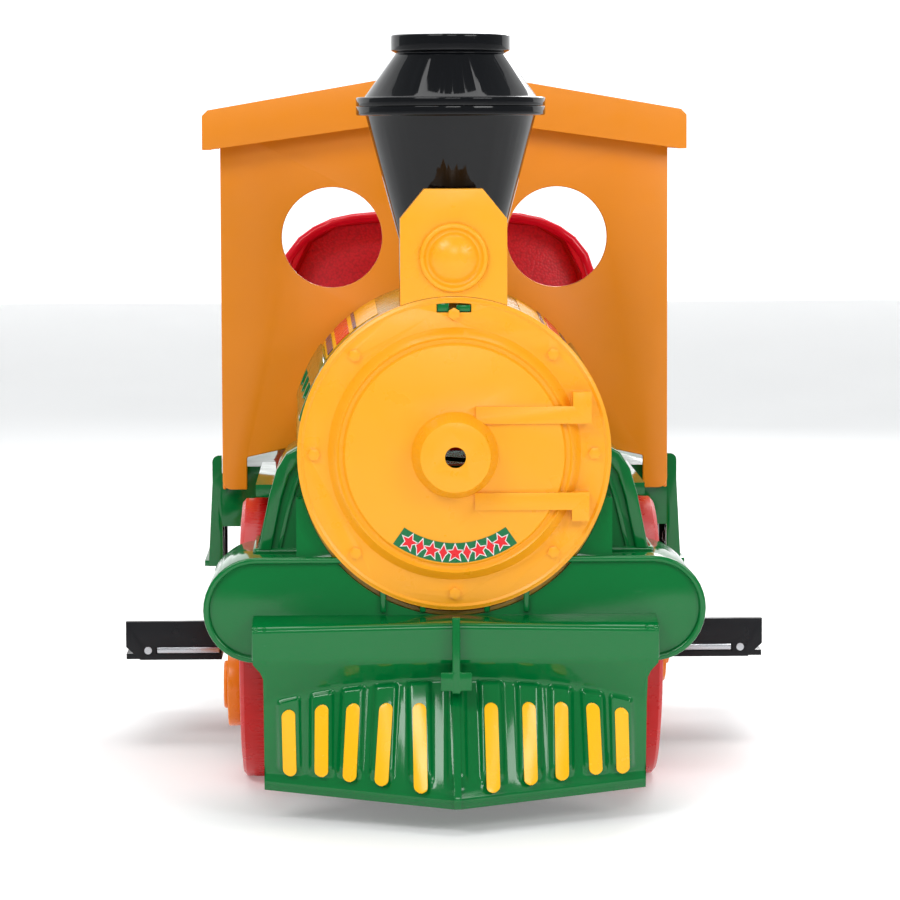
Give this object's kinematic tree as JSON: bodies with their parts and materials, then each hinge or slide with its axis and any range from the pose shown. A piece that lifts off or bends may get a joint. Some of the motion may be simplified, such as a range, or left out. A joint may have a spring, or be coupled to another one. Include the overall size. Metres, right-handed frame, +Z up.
{
  "type": "ride-on toy steam locomotive",
  "caption": "Child's battery ride-on steam locomotive: boiler, flared stack, open cab, hinged seat, footrests, spoked wheels with side rods.",
  "frame": {"origin": "on the ground under the middle of the bounding box", "axes": "+Z up, +Y towards the rear, +X to the right seen from the front; the boiler door faces -Y"},
  "size_m": [0.58, 0.82, 0.637],
  "materials": {
    "green": "glossy moulded, faint draw marks",
    "yellow_sticker": "glossy printed film",
    "boiler_yellow": "semi-gloss moulded",
    "door_yellow": "semi-gloss moulded",
    "label_print": "printed film, small shapes with a white edge",
    "black_gloss": "high gloss",
    "side_print": "printed film, plain stripes",
    "cab_orange": "semi-gloss with a fine texture",
    "black_satin": "satin moulded",
    "red": "glossy rim, pebbled panel",
    "grip_rubber": "soft ribbed",
    "steel": "plated",
    "nylon": "natural",
    "wheel_red": "semi-gloss moulded",
    "rod_orange": "semi-gloss moulded",
    "brass": "machined",
    "battery_grey": "plain case",
    "wire_cover": "insulation"
  },
  "bodies": {
    "chassis": {"front_body": "green", "cowcatcher": "green", "plough_bars": "yellow_sticker", "nose_clip": "green", "boiler": "boiler_yellow", "smokebox_door": "door_yellow", "door_label": "label_print", "lamp_tabs": "green", "headlamp": "door_yellow", "headlamp_lens": "door_yellow", "stack_base": "black_gloss", "stack_cap": "black_gloss", "handrails": "green", "side_bands": "side_print", "cab_front": "cab_orange", "cab_side_left": "cab_orange", "cab_side_right": "cab_orange", "roof": "cab_orange", "console": "black_satin", "handlebar": "black_satin", "handlebar_grips": "grip_rubber", "sound_box": "black_satin", "rear_body": "green", "charge_plug": "black_satin", "rear_tray": "green", "seat_hinge_pin": "steel", "footrest_left": "black_satin", "footrest_right": "black_satin", "footrest_bars": "steel", "footrest_screws": "steel", "axle_front": "steel", "axle_rear": "steel", "axle_nuts": "black_satin", "axle_washers": "nylon", "gear_shaft": "steel", "motor": "steel", "gearbox_case": "black_satin", "gearbox_cover": "black_satin", "battery": "battery_grey", "battery_strap": "black_satin", "wiring": "wire_cover", "floor_pan": "black_satin", "floor_screws": "steel"},
    "wheel_front_left": {"wheel_front_left": "wheel_red", "crank_cap_front_left": "rod_orange"},
    "wheel_rear_left": {"wheel_rear_left": "wheel_red", "crank_cap_rear_left": "rod_orange"},
    "wheel_front_right": {"wheel_front_right": "wheel_red", "crank_cap_front_right": "rod_orange"},
    "wheel_rear_right": {"wheel_rear_right": "wheel_red", "crank_cap_rear_right": "rod_orange", "output_gear": "nylon"},
    "side_rod_left": {"side_rod_left": "rod_orange"},
    "side_rod_right": {"side_rod_right": "rod_orange"},
    "compound_gear": {"compound_gear": "nylon"},
    "motor_rotor": {"motor_pinion": "brass"},
    "seat": {"seat": "red"},
    "horn_button": {"horn_button": "red"},
    "bell_button": {"bell_button": "yellow_sticker"},
    "go_button": {"go_button": "red"}
  },
  "joints": [
    {"name": "rear_left_spin", "type": "hinge", "parent": "chassis", "child": "wheel_rear_left", "pos_m": [-0.1577, 0.178, 0.1205], "axis": [1, 0, 0], "continuous": true},
    {"name": "front_left_spin", "type": "hinge", "parent": "chassis", "child": "wheel_front_left", "pos_m": [-0.1577, -0.105, 0.1205], "axis": [1, 0, 0], "continuous": true},
    {"name": "rod_left_pivot", "type": "hinge", "parent": "wheel_rear_left", "child": "side_rod_left", "pos_m": [-0.185, 0.16736, 0.08049], "axis": [1, 0, 0], "continuous": true},
    {"name": "rear_right_spin", "type": "hinge", "parent": "chassis", "child": "wheel_rear_right", "pos_m": [0.1577, 0.178, 0.1205], "axis": [1, 0, 0], "continuous": true},
    {"name": "front_right_spin", "type": "hinge", "parent": "chassis", "child": "wheel_front_right", "pos_m": [0.1577, -0.105, 0.1205], "axis": [1, 0, 0], "continuous": true},
    {"name": "rod_right_pivot", "type": "hinge", "parent": "wheel_rear_right", "child": "side_rod_right", "pos_m": [0.185, 0.21801, 0.10985], "axis": [1, 0, 0], "continuous": true},
    {"name": "gear_spin", "type": "hinge", "parent": "chassis", "child": "compound_gear", "pos_m": [0.095, 0.1255, 0.1205], "axis": [1, 0, 0], "continuous": true},
    {"name": "motor_spin", "type": "hinge", "parent": "chassis", "child": "motor_rotor", "pos_m": [0.085, 0.09112, 0.1205], "axis": [1, 0, 0], "continuous": true},
    {"name": "seat_lift", "type": "hinge", "parent": "chassis", "child": "seat", "pos_m": [0, 0.392, 0.266], "axis": [-1, 0, 0], "range_deg": [0, 75]},
    {"name": "horn_press", "type": "slide", "parent": "chassis", "child": "horn_button", "axis": [0, -1, 0], "range_m": [0, 0.003], "stiffness_N_per_m": 500},
    {"name": "bell_press", "type": "slide", "parent": "chassis", "child": "bell_button", "axis": [0, -1, 0], "range_m": [0, 0.003], "stiffness_N_per_m": 500},
    {"name": "go_press", "type": "slide", "parent": "chassis", "child": "go_button", "axis": [0, 0, -1], "range_m": [0, 0.003], "stiffness_N_per_m": 500}
  ],
  "couplings": [
    {"joint": "front_left_spin", "follows": "rear_left_spin", "ratio": 1},
    {"joint": "rod_left_pivot", "follows": "rear_left_spin", "ratio": -1},
    {"joint": "front_right_spin", "follows": "rear_right_spin", "ratio": 1},
    {"joint": "rod_right_pivot", "follows": "rear_right_spin", "ratio": -1},
    {"joint": "gear_spin", "follows": "rear_right_spin", "ratio": -4},
    {"joint": "motor_spin", "follows": "rear_right_spin", "ratio": 16}
  ]
}
